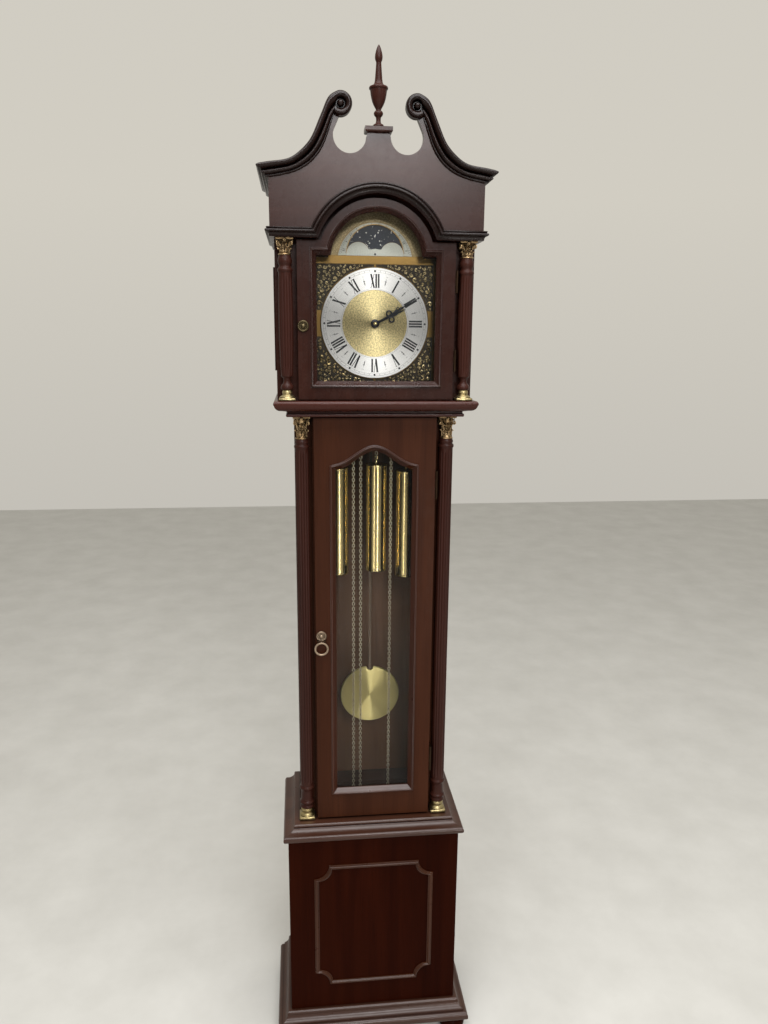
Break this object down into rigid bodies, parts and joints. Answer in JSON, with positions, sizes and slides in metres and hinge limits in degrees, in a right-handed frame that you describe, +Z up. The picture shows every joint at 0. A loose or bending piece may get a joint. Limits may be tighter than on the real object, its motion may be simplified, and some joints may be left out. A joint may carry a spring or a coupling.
{
  "type": "longcase clock",
  "caption": "Tall mahogany longcase clock with arched moon dial, glazed trunk door, brass weights on chains, swinging pendulum and swan-neck hood.",
  "frame": {"origin": "on the floor under the middle of the case's bounding box", "axes": "+Z up, -Y out of the dial towards the viewer, +X to the viewer's right"},
  "size_m": [0.458, 0.268, 2.1895],
  "materials": {
    "mahogany": "semi-gloss lacquer",
    "panel_wood": "satin lacquer",
    "antique_gilt": "antiqued gilt",
    "polished_brass": "polished",
    "silvered": "silvered satin",
    "black_steel": "black satin",
    "moon_blue": "painted",
    "glass": "clear",
    "movement_brass": "lacquered",
    "steel": "brushed",
    "chain_brass": "polished"
  },
  "bodies": {
    "case": {"arch_moulding": "mahogany", "back_panels": "panel_wood", "base_front": "mahogany", "base_panel_moulding": "mahogany", "base_sides": "mahogany", "bun_feet": "mahogany", "case_hinge_leaves": "polished_brass", "chains": "chain_brass", "chapter_ring": "silvered", "chime_rods": "steel", "column_bases": "antique_gilt", "column_capitals": "antique_gilt", "dial_plate": "polished_brass", "finial": "mahogany", "finial_cap": "mahogany", "hood_base_moulding": "mahogany", "hood_columns": "mahogany", "hood_mask": "mahogany", "hood_roof": "mahogany", "hood_sides": "mahogany", "movement_plates": "movement_brass", "plinth_board": "mahogany", "plinth_moulding": "mahogany", "seat_board": "panel_wood", "spandrels": "antique_gilt", "swan_necks": "mahogany", "trunk_columns": "mahogany", "trunk_face_frame": "mahogany", "trunk_sides": "mahogany", "tympanum": "mahogany", "waist_moulding": "mahogany"},
    "trunk_door": {"trunk_door": "mahogany", "trunk_door_glass": "glass", "trunk_door_leaves": "polished_brass", "ring_pull_boss": "polished_brass"},
    "hood_door": {"hood_door": "mahogany", "hood_door_glass": "glass", "hood_door_leaves": "polished_brass", "hood_door_knob": "polished_brass"},
    "ring_pull": {"ring_pull": "polished_brass"},
    "minute": {"minute_hand": "black_steel", "cannon_pinion": "movement_brass"},
    "hour": {"hour_hand": "black_steel", "hour_wheel": "movement_brass"},
    "minute_wheel": {"minute_wheel": "movement_brass"},
    "centre_wheel": {"centre_wheel": "movement_brass"},
    "great_wheel": {"great_wheel": "movement_brass"},
    "third_wheel": {"third_wheel": "movement_brass"},
    "escape_wheel": {"escape_wheel": "movement_brass"},
    "anchor": {"anchor": "steel"},
    "pendulum": {"pendulum_rod": "black_steel", "pendulum_bob": "polished_brass"},
    "moon": {"moon_disc": "moon_blue"},
    "weight_left": {"weight_left": "polished_brass"},
    "weight_centre": {"weight_centre": "polished_brass"},
    "weight_right": {"weight_right": "polished_brass"},
    "sprocket_left": {"sprocket_left": "movement_brass"},
    "sprocket_centre": {"sprocket_centre": "movement_brass"},
    "sprocket_right": {"sprocket_right": "movement_brass"},
    "hammers": {"hammers": "steel"}
  },
  "joints": [
    {"name": "trunk_door_hinge", "type": "hinge", "parent": "case", "child": "trunk_door", "pos_m": [0.1306, -0.076, 1.039], "axis": [0, 0, 1], "range_deg": [0, 105]},
    {"name": "hood_door_hinge", "type": "hinge", "parent": "case", "child": "hood_door", "pos_m": [0.1594, -0.0922, 1.694], "axis": [0, 0, 1], "range_deg": [0, 100]},
    {"name": "ring_pull_swing", "type": "hinge", "parent": "trunk_door", "child": "ring_pull", "pos_m": [-0.116, -0.081, 1.0168], "axis": [-1, 0, 0], "range_deg": [0, 75]},
    {"name": "minute_spin", "type": "hinge", "parent": "case", "child": "minute", "pos_m": [0, -0.056, 1.6915], "axis": [0, 1, 0], "continuous": true},
    {"name": "hour_spin", "type": "hinge", "parent": "case", "child": "hour", "pos_m": [0, -0.052, 1.6915], "axis": [0, 1, 0], "continuous": true},
    {"name": "minute_wheel_spin", "type": "hinge", "parent": "case", "child": "minute_wheel", "pos_m": [0.012, -0.031, 1.67071], "axis": [0, 1, 0], "continuous": true},
    {"name": "escape_spin", "type": "hinge", "parent": "case", "child": "escape_wheel", "pos_m": [0, 0.014, 1.73749], "axis": [0, 1, 0], "continuous": true},
    {"name": "third_spin", "type": "hinge", "parent": "case", "child": "third_wheel", "pos_m": [0.0144, 0.001, 1.71644], "axis": [0, 1, 0], "continuous": true},
    {"name": "centre_spin", "type": "hinge", "parent": "case", "child": "centre_wheel", "pos_m": [0, 0.011, 1.6915], "axis": [0, 1, 0], "continuous": true},
    {"name": "great_spin", "type": "hinge", "parent": "case", "child": "great_wheel", "pos_m": [-0.008, 0.005, 1.6454], "axis": [0, 1, 0], "continuous": true},
    {"name": "pendulum_swing", "type": "hinge", "parent": "case", "child": "pendulum", "pos_m": [0, 0.03, 1.76249], "axis": [0, 1, 0], "range_deg": [-3.5, 3.5]},
    {"name": "anchor_rock", "type": "hinge", "parent": "case", "child": "anchor", "pos_m": [0, 0.015, 1.76249], "axis": [0, 1, 0], "range_deg": [-3.5, 3.5]},
    {"name": "moon_spin", "type": "hinge", "parent": "case", "child": "moon", "pos_m": [0, -0.043, 1.826], "axis": [0, 1, 0], "continuous": true},
    {"name": "hammers_lift", "type": "hinge", "parent": "case", "child": "hammers", "pos_m": [-0.07, 0.084, 1.518], "axis": [1, 0, 0], "range_deg": [-18, 0], "stiffness_Nm_per_rad": 0.05, "springref_deg": 20.05},
    {"name": "weight_left_slide", "type": "slide", "parent": "case", "child": "weight_left", "axis": [0, 0, -1], "range_m": [0, 1.03]},
    {"name": "sprocket_left_turn", "type": "hinge", "parent": "case", "child": "sprocket_left", "pos_m": [-0.058, -0.005, 1.6454], "axis": [0, 1, 0], "range_deg": [-3472.45, 0]},
    {"name": "weight_centre_slide", "type": "slide", "parent": "case", "child": "weight_centre", "axis": [0, 0, -1], "range_m": [0, 1.03]},
    {"name": "sprocket_centre_turn", "type": "hinge", "parent": "case", "child": "sprocket_centre", "pos_m": [-0.008, -0.005, 1.6454], "axis": [0, 1, 0], "range_deg": [0, 3472.45]},
    {"name": "weight_right_slide", "type": "slide", "parent": "case", "child": "weight_right", "axis": [0, 0, -1], "range_m": [0, 1.03]},
    {"name": "sprocket_right_turn", "type": "hinge", "parent": "case", "child": "sprocket_right", "pos_m": [0.0585, -0.005, 1.6454], "axis": [0, 1, 0], "range_deg": [0, 3472.45]}
  ],
  "couplings": [
    {"joint": "hour_spin", "follows": "minute_spin", "ratio": 0.083333},
    {"joint": "minute_wheel_spin", "follows": "minute_spin", "ratio": -0.33333},
    {"joint": "third_spin", "follows": "escape_spin", "ratio": -0.13333},
    {"joint": "centre_spin", "follows": "escape_spin", "ratio": 0.016667},
    {"joint": "great_spin", "follows": "escape_spin", "ratio": -0.0013889},
    {"joint": "anchor_rock", "follows": "pendulum_swing", "ratio": 1},
    {"joint": "sprocket_left_turn", "follows": "weight_left_slide", "rad_per_m": -58.824},
    {"joint": "sprocket_centre_turn", "follows": "weight_centre_slide", "rad_per_m": 58.824},
    {"joint": "sprocket_right_turn", "follows": "weight_right_slide", "rad_per_m": 58.824}
  ]
}
